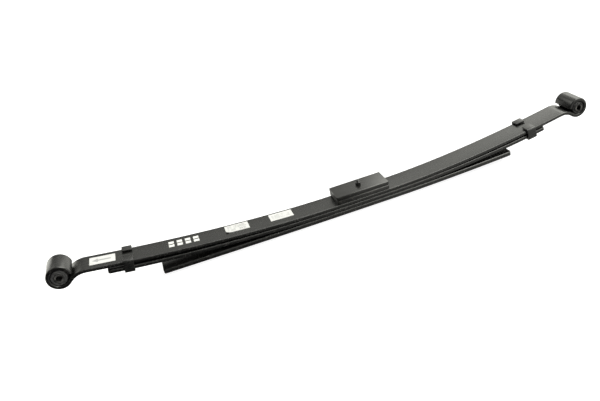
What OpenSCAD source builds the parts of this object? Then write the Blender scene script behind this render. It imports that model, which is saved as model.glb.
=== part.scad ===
// Three-leaf pickup spring: a main leaf with two bushed eyes, a second leaf, an
// overload leaf, two spacer plates on the seat and a rebound clip on each limb.
// X runs along the spring (front eye at -X), Y across it, Z up. The origin is on
// the centre bolt's axis, in the underside of the overload leaf.

/* [Leaves] */
// Width of every leaf
leaf_w = 63.5; // [45:0.5:90]
// Thickness of the main leaf
main_t = 9.5; // [7:0.5:13]
// Thickness of the second leaf
second_t = 10; // [7:0.5:14]
// Thickness of the overload leaf
overload_t = 12.5; // [9:0.5:20]
// Half the length of the flat seat in the middle of every leaf
seat_half = 72; // [50:1:110]
// How the bend is spread: 2 is even, less puts more of it near the seat
arch_power = 1.75; // [1.5:0.05:2.2]

/* [Front limb] */
// Centre bolt to front eye centre
front_reach = 744; // [560:2:950]
// Rise of the main leaf from its seat to the front eye
front_arch = 62; // [30:1:140]
// Front eye centre back to the second leaf's end
front_second_back = 107; // [90:1:180]
// Second leaf's front end back to the overload leaf's end
front_overload_back = 117; // [90:1:220]
// Rise of the overload leaf at its front end
front_overload_arch = 4; // [0:0.5:20]
// Second leaf's front end back to the middle of the front rebound clip
front_clip_back = 49; // [40:1:70]
// Radius of the front eye's bore
front_eye_bore_r = 20.5; // [14:0.5:26]
// Bend radius of the front knee, at the middle of the leaf
front_knee_r = 50; // [20:1:56]
// Angle at which the leaf dives under the front eye
front_dive = 43; // [38:1:55]
// Straight stretch between the knee and the front eye
front_drop_len = 2; // [1:0.5:20]

/* [Rear limb] */
// Centre bolt to rear eye centre
rear_reach = 609; // [500:1:800]
// Rise of the main leaf from its seat to the rear eye
rear_arch = 58; // [30:1:140]
// Rear eye centre back to the second leaf's end
rear_second_back = 101; // [90:1:180]
// Second leaf's rear end back to the overload leaf's end
rear_overload_back = 98; // [80:1:180]
// Rise of the overload leaf at its rear end
rear_overload_arch = 10; // [0:0.5:20]
// Second leaf's rear end back to the middle of the rear rebound clip
rear_clip_back = 39; // [34:1:60]
// Radius of the rear eye's bore
rear_eye_bore_r = 16.5; // [13:0.5:24]
// Bend radius of the rear knee, at the middle of the leaf
rear_knee_r = 40; // [20:1:45]
// Angle at which the leaf dives under the rear eye
rear_dive = 41; // [35:1:55]
// Straight stretch between the knee and the rear eye
rear_drop_len = 2; // [1:0.5:20]

/* [Eyes and bushes] */
// Gap between the end of the scroll and the leaf
scroll_gap = 2.5; // [1:0.5:6]
// Wall of each bush's outer shell
shell_wall = 1.5; // [1:0.1:3]
// How far each end of a shell stands back from the leaf's edge
shell_inset = 1.75; // [0:0.25:5]
// How far the rubber stands out of each end of its shell
rubber_out = 1.5; // [0.5:0.25:4]
// How far the sleeve stands out of each end of its rubber
sleeve_out = 2.5; // [0.5:0.25:6]
// Wall of each bush's inner sleeve
sleeve_wall = 3.6; // [2:0.1:5]
// Radius of the bolt hole through the front sleeve
front_bolt_hole_r = 7.2; // [5:0.1:9]
// Radius of the bolt hole through the rear sleeve
rear_bolt_hole_r = 6.2; // [5:0.1:8]

/* [Seat] */
// How far each end of the spacer plates stands back from the end of the seat
plate_inset = 3; // [0:0.5:20]
// Thickness of each spacer plate
plate_t = 11; // [5:0.5:16]
// Radius of the centre bolt's shank
bolt_r = 4; // [3:0.25:5]
// Radius of the centre bolt's round head
bolt_head_r = 8; // [6.5:0.25:11]
// Height of the centre bolt's head
bolt_head_h = 7; // [4:0.5:12]
// Width across the flats of the centre nut
nut_flats = 13; // [12.5:0.5:20]
// Height of the centre nut
nut_h = 7; // [5:0.5:12]
// Length of bolt that stands out of the nut
bolt_stub = 7; // [1:0.5:12]
// Depth of the spotfaces that the bolt head and the nut sit in
spotface_depth = 0.5; // [0.3:0.1:2]

/* [Clips and pads] */
// Width of each rebound clip
clip_w = 24; // [16:1:32]
// Thickness of the clip strap
clip_t = 4; // [2.5:0.25:6]
// Room between a clip and the edges of the leaves
clip_side_gap = 1.5; // [0.5:0.25:4]
// Room between the clip tabs and the main leaf
clip_top_gap = 1.5; // [0.5:0.25:4]
// Length of leaf that each tab covers
tab_len = 18; // [10:1:24]
// Bend radius outside each corner of a clip
clip_corner_r = 6; // [5:0.5:9]
// Radius of each clip rivet
rivet_r = 4; // [3:0.25:6]
// How far the flat top of a rivet spreads past its shank
rivet_top_out = 2.4; // [1:0.1:4]
// How far the round head of a rivet spreads past its shank
rivet_head_out = 3.6; // [2:0.1:5]
// Thickness of the pad between the front tips of the second and main leaves
front_pad_t = 5.5; // [2.5:0.25:7]
// Thickness of the pad between their rear tips
rear_pad_t = 3; // [2.5:0.25:5]
// Second leaf's end back to the pad's outer end
pad_back = 4; // [1:0.5:8]
// Room between the pad's inner end and the clip's rivet
pad_room = 1; // [0.5:0.25:4]
// How far the pad's sides stand back from the leaf's edges
pad_edge = 6.75; // [2:0.25:15]
// Radius of the button that holds each pad in the second leaf
button_r = 6; // [4:0.5:8]

/* [Labels] */
// Length of each sticker
label_len = 59; // [30:1:70]
// Width of each sticker
label_w = 34; // [20:1:40]
// Thickness of each sticker
label_t = 0.3; // [0.2:0.05:0.6]
// Front eye centre back to the middle of the direction sticker
direction_label_back = 98; // [88:1:110]
// Centre bolt to the middle of the part sticker
middle_label_at = 322; // [280:1:360]
// Centre bolt to the middle of the date sticker
inner_label_at = 209; // [170:1:240]
// How far the part and date stickers sit off the middle of the leaf
label_shift = 7; // [0:0.5:12]

/* [Hidden] */
$fn = 72;

paint = [0.09, 0.09, 0.1];
bare_steel = [0.55, 0.55, 0.56];
rubber_black = [0.14, 0.14, 0.14];
pad_grey = [0.3, 0.3, 0.3];
paper = [0.93, 0.93, 0.92];

hole_clear = 0.25;      // round the centre bolt and the rivets
fit_clear = 0.05;       // round a shell in its eye and a sleeve in its rubber
lay_clear = 0.1;        // under what lies on a leaf of another body
step = 16;              // length of leaf between two stations
knee_steps = 8;
scroll_step = 5;        // degrees of scroll between two stations
bore_spare = 0.3;       // left in each rolled eye for boring out
spotface_clear = 1;     // round the bolt head and the nut
rivet_head_h = 3;
rivet_head_edge = 2.8;  // the head narrows by this much towards its face
rivet_top_h = 1.5;
nut_bevel = 1.2;
nut_crown = 0.3;        // the bevel ends this far inside the flats
rubber_lip = 2;         // depth of the groove in each end of the rubber
button_short = 1;       // the pad's button ends this far inside the leaf
cut = 1;                // how far a cut runs past a face

seat_top = overload_t + second_t + main_t;
plates_top = seat_top + 2 * plate_t;
plate_len = 2 * (seat_half - plate_inset);
nut_corner_r = nut_flats / sqrt(3);
nut_seat = plates_top - spotface_depth;
shell_len = leaf_w - 2 * shell_inset;
rubber_len = shell_len + 2 * rubber_out;
sleeve_len = rubber_len + 2 * sleeve_out;
pad_w = leaf_w - 2 * pad_edge;
main_mid = seat_top - main_t / 2;

// ---- The curve of a limb. u is the distance from the centre bolt. ----

function reach(front) = front ? front_reach : rear_reach;
function arch(front) = front ? front_arch : rear_arch;
function eye_bore_r(front) = front ? front_eye_bore_r : rear_eye_bore_r;
function knee_r(front) = front ? front_knee_r : rear_knee_r;
function dive(front) = front ? front_dive : rear_dive;
function drop_len(front) = front ? front_drop_len : rear_drop_len;
function second_len(front) = reach(front) - (front ? front_second_back : rear_second_back);
function overload_len(front) =
    second_len(front) - (front ? front_overload_back : rear_overload_back);
function overload_arch(front) = front ? front_overload_arch : rear_overload_arch;
function clip_at(front) = second_len(front) - (front ? front_clip_back : rear_clip_back);
function pad_t(front) = front ? front_pad_t : rear_pad_t;
function pad_end(front) = second_len(front) - pad_back;
function pad_start(front) = clip_at(front) + rivet_r + rivet_top_out + pad_room;
function pad_middle(front) = (pad_start(front) + pad_end(front)) / 2;

// Rise and slope of an arch that starts at the seat and rises by h at u = far.
function share(u, far) = max(0, u - seat_half) / (far - seat_half);
function rise(u, far, h) = h * pow(share(u, far), arch_power);
function slope(u, far, h) =
    atan(h * arch_power / (far - seat_half) * pow(share(u, far), arch_power - 1));

// A station is [u, height of the middle of the leaf, direction in degrees].
function main_station(front, u) =
    [u, main_mid + rise(u, reach(front), arch(front)), slope(u, reach(front), arch(front))];

// The point that lies d above the middle of the leaf at a station.
function off(s, d) = [s[0] - d * sin(s[2]), s[1] + d * cos(s[2])];

// From the start of the knee to the eye centre, along u and up.
function eye_mid_r(front) = eye_bore_r(front) + main_t / 2;
function knee_run(front, a) = (eye_mid_r(front) + knee_r(front)) * sin(dive(front))
    + drop_len(front) * cos(dive(front)) + knee_r(front) * sin(a);
function knee_climb(front, a) = (eye_mid_r(front) + knee_r(front)) * cos(dive(front))
    - drop_len(front) * sin(dive(front)) - knee_r(front) * cos(a);
function knee_slope(front) =
    slope(reach(front) - knee_run(front, 0), reach(front), arch(front));
function knee_u(front) = reach(front) - knee_run(front, knee_slope(front));
function knee(front) = main_station(front, knee_u(front));
function eye_z(front) = knee(front)[1] + knee_climb(front, knee(front)[2]);

// Stations from a to b, no further apart than step.
function spread(a, b) =
    let (n = ceil((b - a) / step)) [for (i = [0 : n]) a + (b - a) * i / n];
function main_run(front, a, b) = [for (u = spread(a, b)) main_station(front, u)];
function knee_stations(front) =
    let (k = knee(front), r = knee_r(front), c = off(k, -r), turn = k[2] + dive(front))
    [for (i = [1 : knee_steps])
        let (a = k[2] - turn * i / knee_steps)
        [c[0] - r * sin(a), c[1] + r * cos(a), a]];
function limb_stations(front) =
    concat(main_run(front, seat_half, knee(front)[0]), knee_stations(front));

// The scroll goes round the eye until its end stands scroll_gap off the leaf.
function scroll_wrap(bore) =
    360 - acos(bore / (bore + main_t)) - scroll_gap / (bore + main_t) * 180 / PI;
function scroll_stations(front) =
    let (wrap = scroll_wrap(eye_bore_r(front)), r = eye_mid_r(front), n = ceil(wrap / scroll_step))
    [for (i = [0 : n]) let (a = wrap * i / n - dive(front))
        [reach(front) + r * sin(a), eye_z(front) - r * cos(a), a]];
function main_up(front) = concat(
    [for (s = limb_stations(front)) off(s, main_t / 2)],
    [for (s = scroll_stations(front)) off(s, main_t / 2 + bore_spare)]);
function main_down(front) =
    [for (s = concat(limb_stations(front), scroll_stations(front))) off(s, -main_t / 2)];

function overload_path(front) =
    [for (u = spread(seat_half, overload_len(front)))
        [u, overload_t / 2 + rise(u, overload_len(front), overload_arch(front)),
         slope(u, overload_len(front), overload_arch(front))]];

// The second leaf hangs under the main leaf and leaves it slowly, by the pads.
function tip_gap(front, u) =
    let (s = min(1, share(u, pad_start(front)))) pad_t(front) * s * s * (3 - 2 * s);
function second_top(front, s) = -main_t / 2 - tip_gap(front, s[0]);

function reversed(list) = [for (i = [len(list) - 1 : -1 : 0]) list[i]];
function flipped(list) = [for (p = list) [-p[0], p[1]]];

// ---- Shapes shared by the pieces ----

// A side outline in X and Z, given width across Y.
module across(w, shift = 0)
    translate([0, w / 2 + shift, 0]) rotate([90, 0, 0]) linear_extrude(w) children();

module on_limb(front) mirror([front ? 1 : 0, 0, 0]) children();

// A whole leaf from the points of its upper and lower faces on both limbs.
module leaf(front_up, front_down, rear_up, rear_down)
    across(leaf_w) polygon(concat(
        flipped(reversed(front_up)), rear_up, reversed(rear_down), flipped(front_down)));

// A flat sheet on the main leaf, from a to b, between two heights over its middle.
module sheet(front, a, b, low, high, w, shift = 0) {
    run = main_run(front, a, b);
    on_limb(front) across(w, shift) polygon(concat(
        [for (s = run) off(s, high)], reversed([for (s = run) off(s, low)])));
}

module at_eye(front)
    translate([front ? -reach(front) : reach(front), 0, eye_z(front)]) rotate([90, 0, 0])
        children();

module ring(r_in, r_out, l) difference() {
    cylinder(r = r_out, h = l, center = true);
    cylinder(r = r_in, h = l + 2 * cut, center = true);
}

// Places its children on a limb with the leaf's own slope, middle of leaf at 0.
module on_leaf(front, u) {
    s = main_station(front, u);
    on_limb(front) translate([s[0], 0, s[1]]) rotate([0, -s[2], 0]) children();
}

module centre_hole() translate([0, 0, -cut])
    cylinder(r = bolt_r + hole_clear, h = plates_top + 2 * cut);

// A hole upright to a limb's leaf, through the second leaf only.
module second_leaf_hole(front, u, r) on_leaf(front, u)
    translate([0, 0, -main_t / 2 - pad_t(front) - second_t - cut])
        cylinder(r = r, h = second_t + pad_t(front) + main_t / 2);

// ---- Leaves ----

// The eyes are rolled a little too small and then bored out to size.
module main_leaf() color(paint) difference() {
    leaf(main_up(true), main_down(true), main_up(false), main_down(false));
    for (front = [true, false])
        at_eye(front) cylinder(r = eye_bore_r(front), h = leaf_w + 2 * cut, center = true);
    centre_hole();
}

function second_points(front, drop) =
    [for (s = main_run(front, seat_half, second_len(front))) off(s, second_top(front, s) - drop)];

module second_leaf() color(paint) difference() {
    leaf(second_points(true, 0), second_points(true, second_t),
         second_points(false, 0), second_points(false, second_t));
    centre_hole();
    for (front = [true, false]) {
        second_leaf_hole(front, clip_at(front), rivet_r + hole_clear);
        second_leaf_hole(front, pad_middle(front), button_r + hole_clear);
    }
}

function overload_points(front, d) = [for (s = overload_path(front)) off(s, d)];

module overload_leaf() color(paint) difference() {
    leaf(overload_points(true, overload_t / 2), overload_points(true, -overload_t / 2),
         overload_points(false, overload_t / 2), overload_points(false, -overload_t / 2));
    centre_hole();
    translate([0, 0, -cut])
        cylinder(r = bolt_head_r + spotface_clear, h = spotface_depth + cut);
}

// ---- Seat ----

module spacer_plate(z) color(paint) difference() {
    translate([-plate_len / 2, -leaf_w / 2, z]) cube([plate_len, leaf_w, plate_t]);
    centre_hole();
}
module lower_spacer_plate() spacer_plate(seat_top);
module upper_spacer_plate() color(paint) difference() {
    spacer_plate(seat_top + plate_t);
    translate([0, 0, nut_seat])
        cylinder(r = nut_corner_r + spotface_clear, h = spotface_depth + cut);
}

module centre_bolt() color(paint) {
    translate([0, 0, -bolt_head_h]) cylinder(r = bolt_head_r, h = bolt_head_h + spotface_depth);
    cylinder(r = bolt_r, h = nut_seat + nut_h + bolt_stub);
}

module centre_nut() color(paint) translate([0, 0, nut_seat]) difference() {
    intersection() {
        cylinder(r = nut_corner_r, h = nut_h, $fn = 6);
        union() {
            cylinder(r = nut_flats, h = nut_h - nut_bevel);
            translate([0, 0, nut_h - nut_bevel])
                cylinder(r1 = nut_corner_r, r2 = nut_flats / 2 - nut_crown, h = nut_bevel);
        }
    }
    translate([0, 0, -cut]) cylinder(r = bolt_r + fit_clear, h = nut_h + 2 * cut);
}

// ---- Bushes ----

function bolt_hole_r(front) = front ? front_bolt_hole_r : rear_bolt_hole_r;
function sleeve_r(front) = bolt_hole_r(front) + sleeve_wall;
function shell_r(front) = eye_bore_r(front) - fit_clear;

module bush_shell(front) color(bare_steel) at_eye(front)
    ring(shell_r(front) - shell_wall, shell_r(front), shell_len);

module bush_rubber(front) color(rubber_black) at_eye(front) {
    inner = sleeve_r(front) + fit_clear;
    outer = shell_r(front) - shell_wall;
    third = (outer - inner) / 3;
    difference() {
        ring(inner, outer, rubber_len);
        for (end = [-1, 1]) translate([0, 0, end * rubber_len / 2])
            ring(inner + third, outer - third, 2 * rubber_lip);
    }
}

module bush_sleeve(front) color(bare_steel) at_eye(front)
    ring(bolt_hole_r(front), sleeve_r(front), sleeve_len);

module front_bush_shell() bush_shell(true);
module front_bush_rubber() bush_rubber(true);
module front_bush_sleeve() bush_sleeve(true);
module rear_bush_shell() bush_shell(false);
module rear_bush_rubber() bush_rubber(false);
module rear_bush_sleeve() bush_sleeve(false);

// ---- Rebound clips ----

// Heights over the middle of the main leaf: underside of the second leaf at the
// clip, and the inside of the clip below and above the leaves.
function stack_low(front) =
    second_top(front, main_station(front, clip_at(front))) - second_t;
function clip_low(front) = stack_low(front) - hole_clear;
function clip_high() = main_t / 2 + clip_top_gap;

module rounded_box(w, low, high, r)
    hull() for (x = [-1, 1], y = [low + r, high - r]) translate([x * (w / 2 - r), y])
        circle(r = r, $fn = 32);

module clip(front) color(paint) on_leaf(front, clip_at(front)) {
    inside_w = leaf_w + 2 * clip_side_gap;
    low = clip_low(front);
    high = clip_high();
    difference() {
        rotate([90, 0, 90]) translate([0, 0, -clip_w / 2]) linear_extrude(clip_w) difference() {
            rounded_box(inside_w + 2 * clip_t, low - clip_t, high + clip_t, clip_corner_r);
            rounded_box(inside_w, low, high, clip_corner_r - clip_t);
            translate([-leaf_w / 2 + tab_len, high - cut])
                square([leaf_w - 2 * tab_len, clip_t + 2 * cut]);
        }
        translate([0, 0, low - clip_t - cut])
            cylinder(r = rivet_r + fit_clear, h = clip_t + 2 * cut);
    }
}
module front_clip() clip(true);
module rear_clip() clip(false);

// A rivet holds each clip under the second leaf: a round head below, a flat one in
// the gap under the main leaf.
module clip_rivet(front) color(paint) on_leaf(front, clip_at(front)) {
    low = clip_low(front) - clip_t;
    top = stack_low(front) + second_t + lay_clear;
    translate([0, 0, low]) cylinder(r = rivet_r, h = top - low + rivet_top_h / 2);
    translate([0, 0, top]) cylinder(r = rivet_r + rivet_top_out, h = rivet_top_h);
    head_r = rivet_r + rivet_head_out;
    translate([0, 0, low - rivet_head_h])
        cylinder(r1 = head_r - rivet_head_edge, r2 = head_r, h = rivet_head_h);
}
module front_clip_rivet() clip_rivet(true);
module rear_clip_rivet() clip_rivet(false);

// ---- Tip pads ----

module tip_pad(front) color(pad_grey) {
    sheet(front, pad_start(front), pad_end(front),
          -main_t / 2 - pad_t(front) + lay_clear, -main_t / 2 - lay_clear, pad_w);
    on_leaf(front, pad_middle(front))
        translate([0, 0, -main_t / 2 - pad_t(front) - second_t + button_short])
            cylinder(r = button_r, h = second_t - button_short + pad_t(front) / 2);
}
module front_tip_pad() tip_pad(true);
module rear_tip_pad() tip_pad(false);

// ---- Stickers on the main leaf ----

module label(at, shift = 0) color(paper)
    sheet(true, at - label_len / 2, at + label_len / 2,
          main_t / 2 + lay_clear, main_t / 2 + lay_clear + label_t, label_w, shift);
module direction_label() label(front_reach - direction_label_back);
module part_label() label(middle_label_at, label_shift);
module date_label() label(inner_label_at, label_shift);

main_leaf();
second_leaf();
overload_leaf();
lower_spacer_plate();
upper_spacer_plate();
centre_bolt();
centre_nut();
front_bush_shell();
front_bush_rubber();
front_bush_sleeve();
rear_bush_shell();
rear_bush_rubber();
rear_bush_sleeve();
front_clip();
rear_clip();
front_clip_rivet();
rear_clip_rivet();
front_tip_pad();
rear_tip_pad();
direction_label();
part_label();
date_label();
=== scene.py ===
# %% [markdown]
# # A pickup's leaf spring
# A leaf spring is a pile of curved steel bars held by one bolt. The CAD model gives the
# frame: where each piece lies and how the two limbs bend. Here each piece gets the shape
# and finish of the real one. Everything is in metres.

# %% Load the frame
import math

import bmesh
import bpy
from mathutils import Matrix, Vector


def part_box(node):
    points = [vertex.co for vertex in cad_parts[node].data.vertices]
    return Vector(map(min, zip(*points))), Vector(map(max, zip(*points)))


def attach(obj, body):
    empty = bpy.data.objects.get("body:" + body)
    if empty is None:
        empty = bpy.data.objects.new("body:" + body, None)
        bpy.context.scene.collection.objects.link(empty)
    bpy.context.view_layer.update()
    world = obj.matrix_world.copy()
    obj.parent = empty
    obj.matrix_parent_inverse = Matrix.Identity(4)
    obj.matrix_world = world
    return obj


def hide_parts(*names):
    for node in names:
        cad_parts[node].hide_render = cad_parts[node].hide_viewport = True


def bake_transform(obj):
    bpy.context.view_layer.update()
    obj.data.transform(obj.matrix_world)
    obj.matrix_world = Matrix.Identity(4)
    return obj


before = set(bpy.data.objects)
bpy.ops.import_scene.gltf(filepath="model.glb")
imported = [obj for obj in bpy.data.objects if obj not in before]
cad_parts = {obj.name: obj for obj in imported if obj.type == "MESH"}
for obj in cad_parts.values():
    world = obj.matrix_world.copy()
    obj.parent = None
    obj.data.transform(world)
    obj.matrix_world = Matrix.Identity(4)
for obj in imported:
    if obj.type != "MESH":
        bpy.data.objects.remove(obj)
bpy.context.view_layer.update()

MM = 0.001

# %% [markdown]
# ## Sizes
# Most sizes can be read off the frame: a thickness is the distance between two pieces'
# boxes, and an eye's centre is the middle of its sleeve. That way a change in the design
# carries over by itself. Only the shape of the curve is written down again, because a
# box can't tell it.

# %% Sizes from the frame
def middle(node):
    low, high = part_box(node)
    return (low + high) / 2


def extent(node):
    low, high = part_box(node)
    return high - low


leaf_w = extent("main_leaf").y
overload_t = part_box("second_leaf")[0].z
second_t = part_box("main_leaf")[0].z - overload_t
seat_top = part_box("lower_spacer_plate")[0].z
main_t = seat_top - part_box("main_leaf")[0].z
plates_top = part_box("upper_spacer_plate")[1].z
main_mid = seat_top - main_t / 2
print(f"leaves {main_t / MM:.1f}, {second_t / MM:.1f} and {overload_t / MM:.1f} mm thick")

# %% Sizes of the curve
knee_steps = 16
scroll_steps = 72
seat_half = 72 * MM
arch_power = 1.75
drop = 2 * MM
scroll_gap = 2.5 * MM
pad_back = 4 * MM
pad_room = 1 * MM
clip_w = 24 * MM
clip_t = 4 * MM
clip_top_gap = 1.5 * MM
hole_clear = 0.25 * MM
fit_clear = 0.05 * MM
lay_clear = 0.1 * MM
rivet_r = 4 * MM
rivet_top_r = 6.4 * MM
pad_hole_r = 6.25 * MM
leaf_edge_r = 3.4 * MM
overload_edge_r = 4.0 * MM
end_break = 1 * MM


class Limb:
    """One half of the spring, its shape given in mm. u runs outwards from the centre bolt."""

    def __init__(self, name, side, arch, knee_r, dive, second_back, clip_back,
                 overload_back, overload_arch, pad_t):
        sleeve = middle(name + "_bush_sleeve")
        self.name = name
        self.side = side
        self.body = name + "_limb"
        self.arch = arch * MM
        self.knee_r = knee_r * MM
        self.dive = math.radians(dive)
        self.overload_arch = overload_arch * MM
        self.pad_t = pad_t * MM
        self.reach = abs(sleeve.x)
        self.eye_z = sleeve.z
        self.bore_r = extent(name + "_bush_shell").z / 2 + fit_clear
        # each piece's end is measured back from the end of the longer one
        self.second_len = self.reach - second_back * MM
        self.clip_u = self.second_len - clip_back * MM
        self.overload_len = self.second_len - overload_back * MM
        self.pad_start = self.clip_u + rivet_top_r + pad_room
        self.pad_end = self.second_len - pad_back
        # the span from the seat to the inner edge of the clip, where the leaf bends in use; nothing
        # here bends it
        self.bend_from = Vector((side * seat_half, 0, 0))
        self.bend_to = Vector((side * (self.clip_u - clip_w / 2), 0, 0))


front = Limb("front", -1, arch=62, knee_r=50, dive=43, second_back=107, clip_back=49,
             overload_back=117, overload_arch=4, pad_t=5.5)
rear = Limb("rear", 1, arch=58, knee_r=40, dive=41, second_back=101, clip_back=39,
            overload_back=98, overload_arch=10, pad_t=3)
limbs = (front, rear)
for limb in limbs:
    print(f"{limb.name} limb: {limb.reach / MM:.0f} mm to an eye of {2 * limb.bore_r / MM:.1f} mm")

# %% [markdown]
# ## The path of a leaf
# A smith bends a straight bar, so a leaf is best described by a path along its middle.
# A station on the path is a distance u, a height z and a direction. The limb rises in a
# long curve, then the knee turns it down, and the scroll wraps it round the eye.
# Blender's curve object could hold this too, but stations worked out by a formula keep
# the leaf exactly as thick as the CAD one.

# %% Stations along a limb
def share(u, far):
    return max(0.0, u - seat_half) / (far - seat_half)


def rise(u, far, height):
    return height * share(u, far) ** arch_power


def slope(u, far, height):
    return math.atan(height * arch_power / (far - seat_half) * share(u, far) ** (arch_power - 1))


def main_station(limb, u):
    return u, main_mid + rise(u, limb.reach, limb.arch), slope(u, limb.reach, limb.arch)


def offset(station, d):
    """The point d above the middle of the leaf, and the direction that is up there."""
    u, z, a = station
    return (u - d * math.sin(a), z + d * math.cos(a), a)


def spread(a, b, step=8 * MM):
    n = max(1, math.ceil((b - a) / step))
    return [a + (b - a) * i / n for i in range(n + 1)]


# %% Knee and scroll
def knee_start(limb):
    """Where the knee has to start for the scroll to end up round the eye."""
    reach_r = limb.bore_r + main_t / 2 + limb.knee_r
    turned = reach_r * math.sin(limb.dive) + drop * math.cos(limb.dive)
    a = slope(limb.reach - turned, limb.reach, limb.arch)
    return main_station(limb, limb.reach - turned - limb.knee_r * math.sin(a))


def knee_stations(limb):
    u, z, a = knee_start(limb)
    r = limb.knee_r
    centre_u, centre_z = u + r * math.sin(a), z - r * math.cos(a)
    angles = [a - (a + limb.dive) * i / knee_steps for i in range(knee_steps + 1)]
    return [(centre_u - r * math.sin(b), centre_z + r * math.cos(b), b) for b in angles]


def scroll_stations(limb):
    outer = limb.bore_r + main_t
    wrap = 2 * math.pi - math.acos(limb.bore_r / outer) - scroll_gap / outer
    mid_r = limb.bore_r + main_t / 2
    angles = [wrap * i / scroll_steps - limb.dive for i in range(scroll_steps + 1)]
    return [(limb.reach + mid_r * math.sin(b), limb.eye_z - mid_r * math.cos(b), b)
            for b in angles]


def main_path(limb):
    knee = knee_stations(limb)
    run = [main_station(limb, u) for u in [0.0] + spread(seat_half, knee[0][0])]
    return run[:-1] + knee + scroll_stations(limb)


def tip_gap(limb, u):
    s = min(1.0, share(u, limb.pad_start))
    return limb.pad_t * s * s * (3 - 2 * s)


def second_path(limb):
    run = [main_station(limb, u) for u in [0.0] + spread(seat_half, limb.second_len)]
    return [offset(s, -main_t / 2 - tip_gap(limb, s[0]) - second_t / 2) for s in run]


def overload_path(limb):
    far, height = limb.overload_len, limb.overload_arch
    return [(u, overload_t / 2 + rise(u, far, height), slope(u, far, height))
            for u in [0.0] + spread(seat_half, far)]


for limb in limbs:
    print(f"{limb.name}: {len(main_path(limb))} stations, knee from {knee_start(limb)[0] / MM:.0f} mm")

# %% [markdown]
# ## Shader maths as expressions
# A finish is a small net of nodes. Drawn by hand, `1 - mask * 0.5` takes two Math nodes
# and three links. The class below wraps a node's socket, so the same net can be written
# as a line of Python. One method makes every other node: its settings first, then the
# numbers or links of its sockets.

# %% Value and Finish
class Value:
    """A number that changes over a surface."""

    def __init__(self, finish, socket):
        self.finish = finish
        self.socket = socket

    def math(self, operation, a, b=0.0):
        return self.finish.node("ShaderNodeMath", {"operation": operation}, {0: a, 1: b})

    def __add__(self, other):
        return self.math("ADD", self, other)

    __radd__ = __add__

    def __sub__(self, other):
        return self.math("SUBTRACT", self, other)

    def __rsub__(self, other):
        return self.math("SUBTRACT", other, self)

    def __mul__(self, other):
        return self.math("MULTIPLY", self, other)

    __rmul__ = __mul__

    def __gt__(self, other):
        return self.math("GREATER_THAN", self, other)

    def __lt__(self, other):
        return self.math("LESS_THAN", self, other)

    def __abs__(self):
        return self.math("ABSOLUTE", self)

    def wrapped(self, period):
        return self.math("FLOORED_MODULO", self, period)

    def ramp(self, low, high):
        """0 below low, 1 above high, smooth between."""
        return self.finish.node(
            "ShaderNodeMapRange", {"interpolation_type": "SMOOTHSTEP"},
            {"Value": self, "From Min": low, "From Max": high})


class Finish:
    """A material built from nodes. rest is the place on the unbent piece, in metres."""

    def __init__(self, name, **constants):
        self.material = bpy.data.materials.new(name)
        self.material.use_nodes = True
        self.tree = self.material.node_tree
        self.shader = self.tree.nodes["Principled BSDF"]
        for socket, number in constants.items():
            self.shader.inputs[socket.replace("_", " ")].default_value = number
        self.rest = self.node("ShaderNodeAttribute", {"attribute_name": "rest"}, {}, "Vector")
        self.x, self.y, self.z = self.split(self.rest)

    def split(self, vector):
        made = self.node("ShaderNodeSeparateXYZ", {}, {0: vector}, None)
        return [Value(self, made.outputs[i]) for i in range(3)]

    def node(self, kind, settings, values, output=0):
        made = self.tree.nodes.new(kind)
        for key, setting in settings.items():
            setattr(made, key, setting)
        for socket, value in values.items():
            if isinstance(value, Value):
                self.tree.links.new(value.socket, made.inputs[socket])
            else:
                made.inputs[socket].default_value = value
        return made if output is None else Value(self, made.outputs[output])

    def noise(self, scale, detail=3.0, roughness=0.5, stretch=(1, 1, 1)):
        place = self.node("ShaderNodeVectorMath", {"operation": "MULTIPLY"},
                          {0: self.rest, 1: stretch})
        return self.node("ShaderNodeTexNoise", {},
                         {"Vector": place, "Scale": scale, "Detail": detail,
                          "Roughness": roughness})

    def mix(self, factor, first, second):
        """A colour between two, by a factor."""
        made = self.node("ShaderNodeMix", {"data_type": "RGBA"}, {0: factor}, None)
        for socket, colour in ((made.inputs[6], first), (made.inputs[7], second)):
            if isinstance(colour, Value):
                self.tree.links.new(colour.socket, socket)
            else:
                socket.default_value = (*colour, 1.0)
        return Value(self, made.outputs[2])

    def feed(self, **links):
        for socket, value in links.items():
            self.tree.links.new(value.socket, self.shader.inputs[socket.replace("_", " ")])

    def bump(self, height, depth):
        made = self.node("ShaderNodeBump", {}, {"Height": height, "Distance": depth})
        self.tree.links.new(made.socket, self.shader.inputs["Normal"])


# %% [markdown]
# ## Black spring paint
# Leaves are shot-peened, dipped in black paint and baked. The peening leaves a fine
# dimpled skin under the paint, the dip leaves slow waves in the gloss, and handling
# leaves dust, hairlines along the bar and small chips on the corners. Each is one noise
# at its own scale. `edge_y` says how far out the corners are, so chips stay on them.

# %% Paint finish
road_dust = (0.036, 0.034, 0.031)
bare_steel = (0.2, 0.19, 0.18)


def paint(name, tint, gloss, edge_y=None, chips=0.5):
    made = Finish(name, IOR=1.5)
    peen = made.noise(2600, 2.0)
    wave = made.noise(26, 2.0, stretch=(0.5, 1, 1))
    hairline = made.noise(900, 3.0, 0.6, stretch=(0.03, 1, 1))
    dust = made.noise(140, 6.0, 0.65).ramp(0.52, 0.8)
    colour = made.mix(dust * 0.4, tint, road_dust)
    if edge_y:
        chip_spots = made.noise(310, 4.0, 0.7).ramp(0.63, 0.69)
        corner = abs(made.y).ramp(edge_y - 2.2 * MM, edge_y - 0.6 * MM)
        colour = made.mix(chip_spots * corner * chips, colour, bare_steel)
    made.feed(Base_Color=colour,
              Roughness=gloss + wave * 0.08 + dust * 0.2 + hairline * 0.06)
    made.bump(peen * 0.6 + hairline * 0.5 + wave * 2.5, 0.05 * MM)
    return made.material


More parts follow.
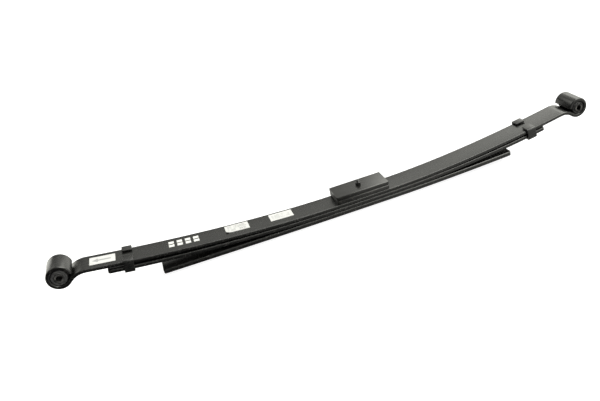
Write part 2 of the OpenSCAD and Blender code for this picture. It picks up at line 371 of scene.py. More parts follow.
leaf_paint = paint("leaf_paint", (0.0022, 0.0022, 0.0021), 0.2, leaf_w / 2)
plate_paint = paint("plate_paint", (0.0045, 0.0044, 0.004), 0.22, leaf_w / 2, 0.8)
clip_paint = paint("clip_paint", (0.004, 0.004, 0.004), 0.2)
fastener_paint = paint("fastener_paint", (0.003, 0.003, 0.003), 0.24)
print("paints:", leaf_paint.name, plate_paint.name, clip_paint.name, fastener_paint.name)

# %% [markdown]
# ## Rubber, steel, nylon and paper
# The bush rubber is matt with a bloom of grey wax. The sleeves are cut tube, turned on
# their faces, so their grain runs in rings. The pads are moulded nylon with a faint
# leather grain, and the stickers are coated paper.

# %% Rubber and nylon
black_rubber, wax_bloom = (0.012, 0.012, 0.012), (0.034, 0.034, 0.033)
dark_nylon, light_nylon = (0.03, 0.03, 0.03), (0.05, 0.05, 0.048)


def rubber():
    made = Finish("bush_rubber", IOR=1.5)
    bloom = made.noise(160, 5.0, 0.6).ramp(0.4, 0.75)
    grain = made.noise(3200, 2.0)
    made.feed(Base_Color=made.mix(bloom, black_rubber, wax_bloom), Roughness=0.55 + bloom * 0.2)
    made.bump(grain + bloom * 0.6, 0.05 * MM)
    return made.material


def nylon():
    made = Finish("pad_nylon", IOR=1.5)
    grain = made.noise(1800, 3.0, 0.6)
    made.feed(Base_Color=made.mix(grain.ramp(0.3, 0.7), dark_nylon, light_nylon),
              Roughness=0.45 + grain * 0.15)
    made.bump(grain, 0.04 * MM)
    return made.material


# %% Tube steel
def tube_steel(name, dark, light, gloss):
    made = Finish(name, Metallic=1.0)
    stain = made.noise(90, 5.0, 0.6).ramp(0.35, 0.7)
    turned = made.noise(1500, 2.0, stretch=(1, 0.05, 1))
    made.feed(Base_Color=made.mix(stain, dark, light), Roughness=gloss + turned * 0.15 + stain * 0.1)
    made.bump(turned, 0.02 * MM)
    return made.material


bush_rubber = rubber()
pad_nylon = nylon()
shell_steel = tube_steel("shell_steel", (0.02, 0.02, 0.021), (0.05, 0.05, 0.05), 0.35)
sleeve_steel = tube_steel("sleeve_steel", (0.06, 0.06, 0.06), (0.15, 0.145, 0.14), 0.3)
print("bush finishes:", bush_rubber.name, shell_steel.name, sleeve_steel.name)

# %% [markdown]
# ## Building helpers
# Almost every piece is a section pushed along a path: the leaves along their stations,
# the clip strap along its bends, a lathe profile round an axis. `skin` joins rings of
# points into a closed mesh, `piece` turns points and faces into an object with smooth
# faces and hard edges where it is bent sharply. The rest attribute keeps each point's
# place on the unbent piece, so a finish doesn't slide when the spring bends.

# %% Mesh helpers
def piece(name, verts, faces, finish, sharp=35):
    mesh = bpy.data.meshes.new(name)
    mesh.from_pydata([tuple(v) for v in verts], [], faces)
    shell = bmesh.new()
    shell.from_mesh(mesh)
    bmesh.ops.remove_doubles(shell, verts=shell.verts, dist=1e-7)
    bmesh.ops.recalc_face_normals(shell, faces=shell.faces)
    shell.to_mesh(mesh)
    shell.free()
    mesh.shade_smooth()
    mesh.set_sharp_from_angle(angle=math.radians(sharp))
    mesh.materials.append(finish)
    made = bpy.data.objects.new(name, mesh)
    bpy.context.scene.collection.objects.link(made)
    remember_rest(made)
    return made


def remember_rest(made):
    """Writes each point's place on the unbent piece into the rest attribute."""
    mesh = made.data
    if "rest" in mesh.attributes:
        mesh.attributes.remove(mesh.attributes["rest"])
    rest = mesh.attributes.new("rest", "FLOAT_VECTOR", "POINT")
    for i, v in enumerate(mesh.vertices):
        rest.data[i].vector = v.co


def skin(rings, loop=False):
    """Verts and faces of rings of points, joined one to the next."""
    n = len(rings[0])
    verts = [p for ring in rings for p in ring]
    faces = []
    for k in range(len(rings) if loop else len(rings) - 1):
        a, b = k * n, (k + 1) % len(rings) * n
        faces += [(a + i, a + (i + 1) % n, b + (i + 1) % n, b + i) for i in range(n)]
    if not loop:
        faces.append(tuple(range(n))[::-1])
        last = (len(rings) - 1) * n
        faces.append(tuple(range(last, last + n)))
    return verts, faces


def rounded_section(w, t, r, steps=6):
    """A bar's section: points (across, up) of a rectangle with round corners."""
    points = []
    for i, (side, level) in enumerate(((1, 1), (-1, 1), (-1, -1), (1, -1))):
        for k in range(steps + 1):
            a = math.pi / 2 * (i + k / steps)
            points.append((side * (w / 2 - r) + r * math.cos(a),
                           level * (t / 2 - r) + r * math.sin(a)))
    return points


break_steps = range(4)


def edge_break(r, step):
    """At a step round a broken edge: how far inside the section, how far from the end."""
    a = math.pi / 2 * step / break_steps[-1]
    return r * (1 - math.cos(a)), r * (1 - math.sin(a))


def corner_pinch(corner, back):
    """How far a round corner draws each side in, at a distance back from the end."""
    if back >= corner:
        return 0.0
    return min(corner * 0.75, corner - math.sqrt(max(0.0, corner ** 2 - (corner - back) ** 2)))


def bar(limb, stations, t, edge_r, corner=0.0):
    """The rings of a bar along a limb, its free end rounded in plan and on its edges."""
    end_u, end_z, end_a = stations[-1]

    def near_end(back):
        return end_u - back * math.cos(end_a), end_z - back * math.sin(end_a), end_a

    body = [(s, 0.0) for s in stations if not corner or s[0] < end_u - corner * 1.02]
    body += [(near_end(corner * k / 6), 0.0) for k in range(6, 0, -1) if corner]
    for step in break_steps:
        inset, back = edge_break(end_break, step)
        body.append((near_end(back), inset))
    rings = []
    for (u, z, a), inset in body:
        pinch = corner_pinch(corner, (end_u - u) / max(1e-6, math.cos(end_a)))
        w, h = leaf_w - 2 * (pinch + inset), t - 2 * inset
        rings.append([Vector((limb.side * (u - q * math.sin(a)), p, z + q * math.cos(a)))
                      for p, q in rounded_section(w, h, min(edge_r, h / 2 - 1e-5))])
    return rings


print("helpers ready")

# %% [markdown]
# ## The main leaf
# The longest leaf carries the eyes. It is one bar on the real spring, but a limb can
# only bend towards one body, so it is made as two halves that meet under the spacer
# plates.

# %% Main leaf
def flexing(made, limb, node):
    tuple(limb.bend_from)
    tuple(limb.bend_to)
    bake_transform(made)
    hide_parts(node)


for limb in limbs:
    rings = bar(limb, main_path(limb), main_t, leaf_edge_r)
    half = piece(limb.name + "_half_of_main_leaf", *skin(rings), leaf_paint)
    flexing(half, limb, "main_leaf")
    print(half.name, len(half.data.vertices), "points")

# %% [markdown]
# ## The second leaf
# The same bar, cut shorter, with its corners knocked off. Near each tip it has a round
# hole for the pad's button. The hole is cut with a Boolean modifier, which is then
# applied, because a bent piece has to be a plain mesh.

# %% Second leaf
def cut_hole(made, centre, axis, r, depth):
    """Drills the piece at centre, along axis."""
    cutter_mesh = bpy.data.meshes.new("cutter")
    drill = bmesh.new()
    turn = axis.to_track_quat("Z", "Y").to_matrix().to_4x4()
    bmesh.ops.create_cone(drill, cap_ends=True, segments=40, radius1=r, radius2=r,
                          depth=depth, matrix=Matrix.Translation(centre) @ turn)
    drill.to_mesh(cutter_mesh)
    drill.free()
    cutter = bpy.data.objects.new("cutter", cutter_mesh)
    bpy.context.scene.collection.objects.link(cutter)
    drilling = made.modifiers.new("hole", "BOOLEAN")
    drilling.object = cutter
    drilling.solver = "EXACT"
    seen = made.evaluated_get(bpy.context.evaluated_depsgraph_get())
    cut = bpy.data.meshes.new_from_object(seen)
    made.modifiers.clear()
    made.data = cut
    bpy.data.objects.remove(cutter)
    remember_rest(made)


def on_leaf(limb, u):
    """Where the middle of the main leaf is at u, and the axes there: along, across, up."""
    _, z, a = main_station(limb, u)
    along = Vector((limb.side * math.cos(a), 0, math.sin(a)))
    up = Vector((-limb.side * math.sin(a), 0, math.cos(a)))
    return Vector((limb.side * u, 0, z)), along, up


for limb in limbs:
    rings = bar(limb, second_path(limb), second_t, leaf_edge_r, corner=6 * MM)
    half = piece(limb.name + "_half_of_second_leaf", *skin(rings), leaf_paint)
    place, _, up = on_leaf(limb, (limb.pad_start + limb.pad_end) / 2)
    underside = place - up * (main_t / 2 + limb.pad_t + second_t)
    cut_hole(half, underside, up, pad_hole_r, 2.2 * second_t)
    flexing(half, limb, "second_leaf")
    print(half.name, len(half.data.vertices), "points")

# %% [markdown]
# ## The overload leaf
# A thick helper leaf, nearly flat. It doesn't bend until the pack comes down on its
# tips, so it is one bar on the seat's body. Its two limbs are made in one run: the front
# one is walked backwards from its tip, then the rear one forwards.

# %% Overload leaf
tips = {limb: bar(limb, overload_path(limb), overload_t, overload_edge_r, corner=5 * MM)
        for limb in limbs}
overload = piece("overload_leaf_bar", *skin(tips[front][:0:-1] + tips[rear]), leaf_paint)
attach(overload, "pack")
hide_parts("overload_leaf")
print(overload.name, len(overload.data.vertices), "points")

# %% [markdown]
# ## Spacer plates
# Two offcuts of bar lie on the seat. Their long edges keep the bar's rolled corners, and
# their ends are sheared, with only a small break on the edge.

# %% Spacer plates
plate_break = 1.4 * MM


def plate(node):
    half_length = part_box(node)[1].x
    mid_z = middle(node).z
    t = extent(node).z
    rings = []
    for side, order in ((-1, reversed(break_steps)), (1, break_steps)):
        for step in order:
            inset, back = edge_break(plate_break, step)
            rings.append([Vector((side * (half_length - back), p, mid_z + q))
                          for p, q in rounded_section(leaf_w - 2 * inset, t - 2 * inset,
                                                      leaf_edge_r - inset)])
    made = piece(node + "_bar", *skin(rings), plate_paint)
    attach(made, "pack")
    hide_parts(node)
    return made


for node in ("lower_spacer_plate", "upper_spacer_plate"):
    print(plate(node).name)

# %% [markdown]
# ## Turned pieces
# Bushes, rivets and the bolt are turned or moulded round an axis. `lathe` spins an
# outline of (radius, distance along the axis) points. A Screw modifier could do it too,
# but a mesh made directly lets the teeth and threads be cut into the same rings.

# %% Lathe
ACROSS = Vector((0, 1, 0))
ALONG = Vector((1, 0, 0))
UP = Vector((0, 0, 1))
axis_r = 0.0005 * MM  # an outline that ends on the axis stops just short of it


def lathe(name, outline, finish, place, axis, side_axis, steps=96, shape=None, sharp=35):
    """Spins outline round axis at place. shape(r, h, angle) may move a point."""
    third = axis.cross(side_axis)
    rings = []
    for k in range(steps):
        a = 2 * math.pi * k / steps
        ring = []
        for r, h in outline:
            if shape:
                r, h = shape(r, h, a)
            out = side_axis * math.cos(a) + third * math.sin(a)
            ring.append(place + axis * h + out * r)
        rings.append(ring)
    return piece(name, *skin(rings, loop=True), finish, sharp)


def arc(centre_r, centre_h, r, start, end, steps=5):
    """Points of a round corner in an outline, from one angle to another in degrees."""
    angles = [math.radians(start + (end - start) * i / steps) for i in range(steps + 1)]
    return [(centre_r + r * math.cos(a), centre_h + r * math.sin(a)) for a in angles]


def tube_outline(r_in, r_out, half, r):
    """The outline of a ring with broken edges, once round."""
    return (arc(r_out - r, -half + r, r, -90, 0) + arc(r_out - r, half - r, r, 0, 90)
            + arc(r_in + r, half - r, r, 90, 180) + arc(r_in + r, -half + r, r, 180, 270))


print("lathe ready")

# %% [markdown]
# ## Eye bushes
# A bush is a rubber ring moulded between two steel tubes. The outer shell is pressed
# into the eye. The inner sleeve stands out of the eye a little, with teeth on its faces
# that bite into the hanger when the bolt is tight. The rubber's ends bulge and carry
# moulded lugs.

# %% Bushes
shell_wall = 1.5 * MM
sleeve_wall = 3.6 * MM
rubber_lip = 3 * MM
bead_depth = 3.2 * MM
lug_count, lug_height = 8, 1.2 * MM
tooth_count, tooth_depth = 32, 0.5 * MM
# from the shell inwards: a lip that laps the shell, a groove, a round bead by the sleeve.
# Each point is a share of the way in and a share of the full height
rubber_face = [(0.02, 0.50), (0.10, 0.86), (0.22, 0.96), (0.36, 0.80), (0.50, 0.52),
               (0.62, 0.50), (0.74, 0.74), (0.86, 0.98), (0.96, 0.90)]


def bush(limb):
    name = limb.name + "_bush_"
    eye = Vector((limb.side * limb.reach, 0, limb.eye_z))
    shell_r = limb.bore_r - fit_clear
    shell_half = extent(name + "shell").y / 2
    rubber_half = extent(name + "rubber").y / 2
    sleeve_half = extent(name + "sleeve").y / 2
    sleeve_r = extent(name + "sleeve").z / 2
    inner, outer = sleeve_r + fit_clear, shell_r - shell_wall

    shell = lathe(name + "outer_shell", tube_outline(outer, shell_r, shell_half, 0.5 * MM),
                  shell_steel, eye, ACROSS, ALONG)

    gap = outer - inner

    def rubber_end(side):
        points = [(outer - inward * gap, side * (rubber_half - bead_depth * (1 - height)))
                  for inward, height in rubber_face]
        return points if side > 0 else points[::-1]

    lip_at, foot_at = rubber_half - rubber_lip, rubber_half - 1 * MM
    outline = ([(outer, -lip_at), (outer, lip_at)] + rubber_end(1)
               + [(inner, foot_at), (inner, -foot_at)] + rubber_end(-1))

    def lugs(r, h, a):
        # moulded lugs stand up in the groove of each end
        if abs(h) > lip_at and inner + 0.3 * gap < r < outer - 0.3 * gap:
            lift = max(0.0, math.cos(lug_count * a)) ** 2
            h += math.copysign(lug_height * lift, h)
        return r, h

    rubber_ring = lathe(name + "moulded_rubber", outline, bush_rubber, eye, ACROSS, ALONG,
                        steps=128, shape=lugs, sharp=50)

    def teeth(r, h, a):
        # the faces are pressed into small teeth
        if abs(h) > sleeve_half - 0.3 * MM:
            h -= math.copysign(tooth_depth * (0.5 + 0.5 * math.cos(tooth_count * a)), h)
        return r, h

    tube = tube_outline(sleeve_r - sleeve_wall, sleeve_r, sleeve_half, 0.4 * MM)
    sleeve = lathe(name + "toothed_sleeve", tube, sleeve_steel, eye, ACROSS, ALONG,
                   steps=192, shape=teeth, sharp=30)
    for made, node, body, slot in ((shell, "shell", limb.body, "shell_steel"),
                                   (rubber_ring, "rubber", limb.body, "bush_rubber"),
                                   (sleeve, "sleeve", limb.name + "_sleeve", "sleeve_steel")):
        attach(made, body)
        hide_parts(name + node)
    return shell, rubber_ring, sleeve


for limb in limbs:
    print(*[made.name for made in bush(limb)])

# %% [markdown]
# ## Rebound clips
# A clip is a flat strap bent round the leaves, so they can't fan out when the wheel
# drops. The path goes from one tab's end over the bend, down, under the second leaf and
# up the other side. The strap's section is pushed along it, as the leaf's was.

# %% Clip straps
clip_bend_r = 4 * MM
clip_tab = 18 * MM
clip_break = 1.2 * MM
clip_edge_r = 1.1 * MM


def strap_path(half_w, low, high, tab):
    """Points (across, up) of the middle of the strap, from tab to tab."""
    bend_y = half_w - clip_bend_r
    path = [(half_w - tab, high), (bend_y - 0.2 * MM, high)]
    path += arc(bend_y, high - clip_bend_r, clip_bend_r, 90, 0, 8)
    path += arc(bend_y, low + clip_bend_r, clip_bend_r, 0, -90, 8)
    mirrored = [(-y, z) for y, z in path]
    return path + [(0.0, low)] + mirrored[::-1]


def outward(path, n):
    """The direction out of the clip at a point of its path."""
    if n in (0, len(path) - 1):
        return 0.0, 1.0
    (y0, z0), (y1, z1) = path[n - 1], path[n + 1]
    d = Vector((y1 - y0, z1 - z0))
    d.normalize()
    return -d.y, d.x


def clip(limb):
    low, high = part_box(limb.name + "_clip")
    place, along, up = on_leaf(limb, limb.clip_u)
    half_w = (high.y - low.y) / 2 - clip_t / 2
    inside_low = -main_t / 2 - tip_gap(limb, limb.clip_u) - second_t - hole_clear
    inside_high = main_t / 2 + clip_top_gap
    path = strap_path(half_w, inside_low - clip_t / 2, inside_high + clip_t / 2,
                      clip_tab + clip_top_gap + clip_t / 2)
    rings = []
    last = len(path) - 1
    for n, (y, z) in enumerate(path):
        normal_y, normal_z = outward(path, n)
        if n == 0:
            steps, end = reversed(break_steps), -1
        elif n == last:
            steps, end = break_steps, 1
        else:
            steps, end = (0,), 0
        for step in steps:
            inset, back = edge_break(clip_break, step)
            at_y = y + end * (clip_break - back)
            section = rounded_section(clip_w - 2 * inset, clip_t - 2 * inset,
                                      clip_edge_r - inset * 0.5)
            rings.append([place + along * p + ACROSS * (at_y + normal_y * q)
                          + up * (z + normal_z * q) for p, q in section])
    made = piece(limb.name + "_clip_strap", *skin(rings), clip_paint, sharp=40)
    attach(made, limb.body)
    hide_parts(limb.name + "_clip")
    return made


for limb in limbs:
    print(clip(limb).name)

# %% [markdown]
# ## Rivets and tip pads
# One rivet holds each clip to the second leaf: its head below is domed by the rivet set,
# the one in the gap is flat. The pad at each tip is a nylon slab whose button snaps into
# the hole.

# %% Rivets
rivet_head_r, rivet_head_h = 7.6 * MM, 3 * MM
rivet_top_h, rivet_top_break = 1.5 * MM, 0.4 * MM


def rivet(limb):
    place, along, up = on_leaf(limb, limb.clip_u)
    leaf_top = -main_t / 2 - tip_gap(limb, limb.clip_u)
    under = leaf_top - second_t - hole_clear - clip_t
    top = leaf_top + lay_clear
    angles = [math.radians(a) for a in range(81, -1, -9)]
    dome = [(rivet_head_r * math.cos(a), under - rivet_head_h * math.sin(a)) for a in angles]
    outline = ([(axis_r, under - rivet_head_h)] + dome
               + [(rivet_r, under), (rivet_r, top), (rivet_top_r, top)]
               + arc(rivet_top_r - rivet_top_break, top + rivet_top_h - rivet_top_break,
                     rivet_top_break, 0, 90, 3) + [(axis_r, top + rivet_top_h)])
    made = lathe(limb.name + "_clip_rivet_set", outline, clip_paint, place, up, along, steps=48)
    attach(made, limb.body)
    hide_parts(limb.name + "_clip_rivet")
    return made


# %% Tip pads
button_r, button_break, button_short = 6 * MM, 0.8 * MM, 1 * MM


def tip_pad(limb):
    low, high = -main_t / 2 - limb.pad_t + lay_clear, -main_t / 2 - lay_clear
    half_w = extent(limb.name + "_tip_pad").y / 2
    stations = [main_station(limb, u) for u in spread(limb.pad_start, limb.pad_end, 4 * MM)]
    rings = []
    for s in stations:
        u, z, a = offset(s, (low + high) / 2)
        rings.append([Vector((limb.side * (u - q * math.sin(a)), p, z + q * math.cos(a)))
                      for p, q in rounded_section(2 * half_w, high - low, 0.6 * MM, 3)])
    slab = piece(limb.name + "_tip_pad_slab", *skin(rings), pad_nylon)
    place, along, up = on_leaf(limb, (limb.pad_start + limb.pad_end) / 2)
    bottom = -main_t / 2 - limb.pad_t - second_t + button_short
    outline = ([(axis_r, bottom)]
               + arc(button_r - button_break, bottom + button_break, button_break, -90, 0)
               + [(button_r, low), (axis_r, low)])
    button = lathe(limb.name + "_tip_pad_button", outline, pad_nylon, place, up, along, steps=48)
    for made in (slab, button):
        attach(made, limb.body)
        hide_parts(limb.name + "_tip_pad")
    return slab, button


for limb in limbs:
    print(rivet(limb).name, *[made.name for made in tip_pad(limb)])

# %% [markdown]
# ## Centre bolt and nut
# The bolt holds the pile together while it is handled. Its round head sits in a hole in
# the axle pad. The thread is a real helix: a point's radius goes up and down once for
# each pitch, and the wave turns with the angle.

# %% Centre bolt
bolt_low, bolt_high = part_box("centre_bolt")
bolt_r = 4 * MM
head_r = (bolt_high.x - bolt_low.x) / 2
head_top = 0.5 * MM
head_low_break, head_top_break = 1.2 * MM, 0.4 * MM
pitch, thread_depth = 1.25 * MM, 0.62 * MM
thread_from = plates_top - 2 * MM
thread_to = bolt_high.z - 0.8 * MM
thread_points = 110


def thread(r, h, a):
    """Cuts a V thread into the shank above the plates."""
    if thread_from < h < thread_to and r > bolt_r * 0.9:
        wave = abs((h / pitch - a / (2 * math.pi)) % 1.0 - 0.5) * 2
        r -= thread_depth * (1 - wave)
    return r, h


shank = [(bolt_r, thread_from + (thread_to - thread_from) * i / thread_points)
         for i in range(thread_points + 1)]
bolt_outline = ([(axis_r, bolt_low.z)]
                + arc(head_r - head_low_break, bolt_low.z + head_low_break, head_low_break, -90, 0)
                + arc(head_r - head_top_break, head_top - head_top_break, head_top_break, 0, 90, 3)
                + [(bolt_r, head_top)] + shank
                + [(bolt_r - 0.9 * MM, bolt_high.z), (axis_r, bolt_high.z)])
bolt = lathe("threaded_centre_bolt", bolt_outline, fastener_paint, Vector((0, 0, 0)), UP, ALONG,
             steps=48, shape=thread, sharp=60)
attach(bolt, "pack")
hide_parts("centre_bolt")

# %% Centre nut
# The nut's corners are cut back by a cone, top and bottom, so a flat ends in an arc.
nut_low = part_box("centre_nut")[0]
nut_h = extent("centre_nut").z
nut_flat_r = extent("centre_nut").y / 2
nut_steps = 96
nut_angles = [2 * math.pi * (k + 0.5) / nut_steps for k in range(nut_steps)]
hexagon = [nut_flat_r / math.cos(a % (math.pi / 3) - math.pi / 6) for a in nut_angles]


def nut_ring(height, radii):
    """A ring of the nut at a share of its height."""
    return [Vector((r * math.cos(a), r * math.sin(a), nut_low.z + nut_h * height))
            for r, a in zip(radii, nut_angles)]


# height up the nut, and how far from the axis the cone lets it reach, both as shares
outside = [(0.0, 1.008), (0.06, 1.05), (0.5, 1.155), (0.8, 1.155), (0.9, 1.113),
           (0.97, 1.05), (1.0, 0.9975)]
bore = [(1.0, 1.12), (0.93, 1.01), (0.0, 1.01)]
nut_rings = [nut_ring(height, [min(r, nut_flat_r * cone) for r in hexagon])
             for height, cone in outside]
bore_rings = [nut_ring(height, [bolt_r * wider] * nut_steps) for height, wider in bore]
nut = piece("hexagon_centre_nut", *skin(nut_rings + bore_rings, loop=True), fastener_paint, sharp=28)
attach(nut, "pack")
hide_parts("centre_nut")
print(bolt.name, len(bolt.data.vertices), "points;", nut.name, len(nut.data.vertices), "points")

# %% [markdown]
# ## Stickers
# Three paper stickers lie on the main leaf. Their print is worn and generic: an arrow to
# the front eye, and rows of grey dashes with a block of bars. The masks are built from
# plain steps in the sticker's own coordinates: x grows towards the rear eye, y away from
# the near edge, both from the sticker's middle.

# %% Sticker paper
clean_paper = (0.4, 0.4, 0.395)
soiled_paper = (0.315, 0.31, 0.3)
grey_ink = (0.12, 0.12, 0.125)


def paper(name, node, print_mask):
    made = Finish(name, IOR=1.45)
    centre = middle(node)
    x, y = made.x - centre.x, made.y - centre.y
    fibre = made.noise(900, 4.0, 0.6)
    smudge = made.noise(70, 4.0, 0.6).ramp(0.5, 0.8)
    ink = print_mask(made, x, y) * (0.65 + fibre * 0.5)
    sheet = made.mix(smudge * 0.35, clean_paper, soiled_paper)
    made.feed(Base_Color=made.mix(ink, sheet, grey_ink), Roughness=0.42 + fibre * 0.2)
    made.bump(fibre, 0.03 * MM)
    return made.material


def inside(v, low, high):
    return (v > low) * (v < high)


def arrow(made, x, y):
    point, neck, tail = -23 * MM, -9.5 * MM, 20 * MM
    shaft = inside(x, neck - 0.5 * MM, tail) * (abs(y) < 3 * MM)
    head = inside(x, point, neck) * (abs(y) < (x - point) * 0.62)
    return (shaft + head) * 0.75


print_left, first_row = -24 * MM, 40 * MM


def dashes(made, x, y, row_gap, right):
    """Rows of broken dashes, as small print looks from afar."""
    row = (y + first_row).wrapped(row_gap) < row_gap * 0.4
    broken = made.noise(240, 1.0, stretch=(1.0, 0.12, 0.0)) > 0.47
    return row * broken * inside(x, print_left, right)


def part_print(made, x, y):
    bars = (made.noise(700, 0.0, stretch=(1, 0, 0)) > 0.5) * inside(x, 2 * MM, 24 * MM)
    block = bars * inside(y, -12 * MM, -4 * MM)
    rows = dashes(made, x, y, row_gap=4.2 * MM, right=24 * MM) * inside(y, -1 * MM, 13 * MM)
    side = dashes(made, x, y, row_gap=3.2 * MM, right=-4 * MM) * inside(y, -12 * MM, -3 * MM)
    return block + rows + side


def date_print(made, x, y):
    rows = dashes(made, x, y, row_gap=5.2 * MM, right=22 * MM) * inside(y, -11 * MM, 12 * MM)
    return rows * 0.6


sticker_finish = {
    "direction_label": paper("direction_paper", "direction_label", arrow),
    "part_label": paper("part_paper", "part_label", part_print),
    "date_label": paper("date_paper", "date_label", date_print),
}

# %% [markdown]
# The sticker itself is a thin grid that follows the leaf. The middle one has a corner
# that has let go and curls up.

# %% Sticker sheets
sticker_t = 0.3 * MM
curl_r = 15 * MM


def sticker(node, curl=0.0):
    """A sheet over the front limb. curl is how high its free corner stands up."""
    low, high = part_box(node)
    across, along = 16, 28
    grid = {}
    for side in (0, 1):
        for i in range(along + 1):
            u = -high.x + (high.x - low.x) * i / along
            s = main_station(front, u)
            for k in range(across + 1):
                y = low.y + (high.y - low.y) * k / across
                corner = max(0.0, 1 - math.hypot(-low.x - u, y - low.y) / curl_r)
                lift = main_t / 2 + lay_clear + sticker_t * side + curl * corner ** 2
                p = offset(s, lift)
                grid[side, i, k] = Vector((-p[0], y, p[1]))
    keys = list(grid)
    number = {key: n for n, key in enumerate(keys)}
    faces = []
    for side in (0, 1):
        for i in range(along):
            for k in range(across):
                faces.append([number[side, a, b] for a, b in
                              ((i, k), (i + 1, k), (i + 1, k + 1), (i, k + 1))])
    rim = ([(i, 0) for i in range(along)] + [(along, k) for k in range(across)]
           + [(i, across) for i in range(along, 0, -1)] + [(0, k) for k in range(across, 0, -1)])
    for (a, b), (c, d) in zip(rim, rim[1:] + rim[:1]):
        faces.append([number[0, a, b], number[0, c, d], number[1, c, d], number[1, a, b]])
    return piece(node + "_sheet", [grid[key] for key in keys], faces, sticker_finish[node])


direction = sticker("direction_label")
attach(direction, front.body)
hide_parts("direction_label")
for node, curl in (("part_label", 4 * MM), ("date_label", 0.0)):
    flexing(sticker(node, curl), front, node)
print("three stickers")

# %% [markdown]
# ## Stencilled mark
# A row of white paint marks says which spring this is. They are plain blocks here, each
# two thin patches with the bar of the stencil between them, and the paint is uneven.

# %% White marks
thick_white, thin_white = (0.47, 0.47, 0.46), (0.3, 0.3, 0.29)


def mark_paint():
    made = Finish("white_mark_paint", IOR=1.45)
    thin = made.noise(420, 5.0, 0.7).ramp(0.42, 0.75)
    made.feed(Base_Color=made.mix(thin, thick_white, thin_white), Roughness=0.5 + thin * 0.15)
    made.bump(made.noise(2600, 2.0), 0.04 * MM)
    return made.material


white = mark_paint()
mark_at, mark_gap, mark_w, mark_t = 484 * MM, 20 * MM, 13 * MM, 0.06 * MM
mark_rows = {"near": (-11 * MM, 0), "far": (4 * MM, 15 * MM)}
mark_steps = 6


def patch(name, u, low, high):
    """A patch of paint on the front limb, from low to high across the leaf."""
    rings = []
    for i in range(mark_steps + 1):
        s = main_station(front, u - mark_w / 2 + mark_w * i / mark_steps)
        x, z, _ = offset(s, main_t / 2 + mark_t)
        section = ((low, -1), (high, -1), (high, 1), (low, 1))
        rings.append([Vector((-x, y, z + face * mark_t / 2)) for y, face in section])
    flexing(piece(name, *skin(rings), white), front, "main_leaf")


for n in range(4):
    for row, (low, high) in mark_rows.items():
        patch(f"white_mark_{n + 1}_{row}", mark_at - mark_gap * n, low, high)
print("four white marks, each of two patches")

# %% [markdown]
# ## Floor, light and camera
# The studio is a white sweep with a wall of soft light behind and to the right, and a
# dark room on the camera's side. Black gloss paint shows only what it mirrors, so the
# room is what shapes it: the world's brightness depends on the direction. The floor is
# kept out of mirror rays, so the dark room shows in the near faces of the leaves. Far off
# it turns up into walls, so a low view meets white and not the room.

# %% Floor
floor_mesh = bpy.data.meshes.new("floor")
reach = 40
floor_z = bolt_low.z
wall_top = 25
corners = [(-reach, -reach), (reach, -reach), (reach, reach), (-reach, reach)]
ring = [(x, y, floor_z) for x, y in corners] + [(x, y, wall_top) for x, y in corners]
walls = [(i, (i + 1) % 4, (i + 1) % 4 + 4, i + 4) for i in range(4)]
floor_mesh.from_pydata(ring, [], [(0, 1, 2, 3)] + walls)
floor = bpy.data.objects.new("floor", floor_mesh)
bpy.context.scene.collection.objects.link(floor)
floor_finish = bpy.data.materials.new("white_sweep")
floor_finish.use_nodes = True
floor_shader = floor_finish.node_tree.nodes["Principled BSDF"]
floor_shader.inputs["Base Color"].default_value = (0.3, 0.3, 0.3, 1)
floor_shader.inputs["Roughness"].default_value = 0.9
floor_shader.inputs["Specular IOR Level"].default_value = 0.0
floor_shader.inputs["Emission Color"].default_value = (1, 1, 1, 1)
floor_shader.inputs["Emission Strength"].default_value = 0.88
floor_mesh.materials.append(floor_finish)
floor.visible_glossy = False
print("sweep", 2 * reach, "m wide, walls to", wall_top, "m")

# %% Room
world = bpy.data.worlds.new("room")
bpy.context.scene.world = world
world.use_nodes = True


class Room(Finish):
    """The world's own net of nodes, with the direction looked in as x, y, z."""

    def __init__(self, made):
        self.tree = made.node_tree
        self.x, self.y, self.z = self.split(self.node("ShaderNodeTexCoord", {}, {}, "Generated"))


room = Room(world)
window_light, corner_light, strip_light, warmth = 2.1, 2.2, 9.0, (1.0, 1.0, 0.93, 1.0)
behind = room.y.ramp(-0.3, 0.3)
below = (-1 * room.z).ramp(0.12, 0.35)
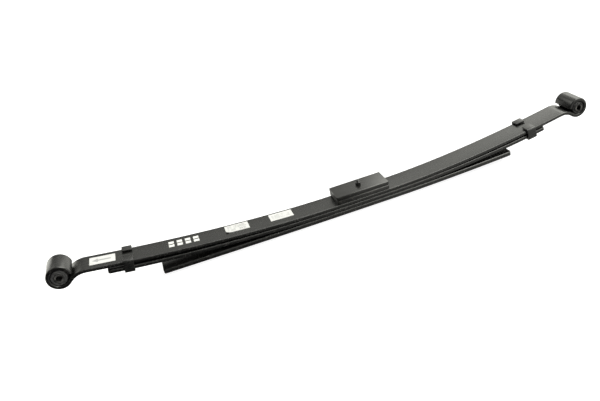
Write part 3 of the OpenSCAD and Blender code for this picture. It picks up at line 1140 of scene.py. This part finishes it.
# the wall of light grows to the right, a lamp stands high in the left corner, a window
# is low on the left, and a bright strip hangs over the camera's right shoulder
wall = 0.14 + room.x.ramp(-0.5, 0.36) * 1.12 + room.x.ramp(0.28, 0.42) * 3.0
corner = room.z.ramp(0.4, 0.6) * (1 - room.x.ramp(-0.38, -0.15)) * corner_light
window = room.x.ramp(-0.62, -0.52) * (1 - room.x.ramp(-0.42, -0.28))
window = window * (1 - room.z.ramp(0.18, 0.34)) * window_light
strip = room.y.ramp(-0.8, -0.65) * (1 - room.y.ramp(-0.1, 0.1))
strip = strip * room.z.ramp(0.5, 0.7) * room.x.ramp(0.12, 0.36) * strip_light
upper_back = wall * (0.35 + 0.65 * room.z.ramp(0.3, 0.5)) + corner + window
upper_front = 0.1 + room.x.ramp(-0.1, 0.5) * 1.4
lower_back = 0.3 + window
lower_front = 0.01 + room.x.ramp(0.0, 0.35) * 0.7
upper = upper_back * behind + upper_front * (1 - behind) + strip
lower = lower_back * behind + lower_front * (1 - behind)
light = upper * (1 - below) + lower * below
backdrop = room.tree.nodes["Background"]
backdrop.inputs["Color"].default_value = warmth
room.tree.links.new(light.socket, backdrop.inputs["Strength"])
print("room of", len(room.tree.nodes), "nodes")

# %% Lamp
softbox = bpy.data.lights.new("overhead", "AREA")
softbox.shape = "RECTANGLE"
softbox.size = 2.4
softbox.size_y = 1.2
softbox.energy = 10
overhead = bpy.data.objects.new("overhead", softbox)
overhead.location = (0.1, 0.2, 2.2)
overhead.rotation_euler = (-overhead.location).to_track_quat("-Z", "Y").to_euler()
bpy.context.scene.collection.objects.link(overhead)
print("one softbox overhead")

# %% Camera
# The camera looks down at the spring from the front eye's side, turned a little on its
# own axis, so the spring climbs across the picture.
aim = Vector((-0.1541, 0.0, 0.0627))
distance = 1.646
azimuth, elevation, roll = math.radians(-10.03), math.radians(28.27), math.radians(13.52)
back = Vector((math.sin(azimuth) * math.cos(elevation),
               -math.cos(azimuth) * math.cos(elevation), math.sin(elevation)))
level = UP.cross(back).normalized()
upright = back.cross(level)
right = level * math.cos(roll) - upright * math.sin(roll)
top = back.cross(right)
lens = bpy.data.cameras.new("camera")
lens.lens = 39.98
lens.sensor_width = 36
camera = bpy.data.objects.new("camera", lens)
camera.matrix_world = Matrix.Translation(aim + back * distance) @ Matrix(
    (right, top, back)).transposed().to_4x4()
bpy.context.scene.collection.objects.link(camera)
bpy.context.scene.camera = camera
bpy.context.scene.view_settings.view_transform = "Standard"
print(f"camera {distance:.2f} m away, lens {lens.lens:.0f} mm")
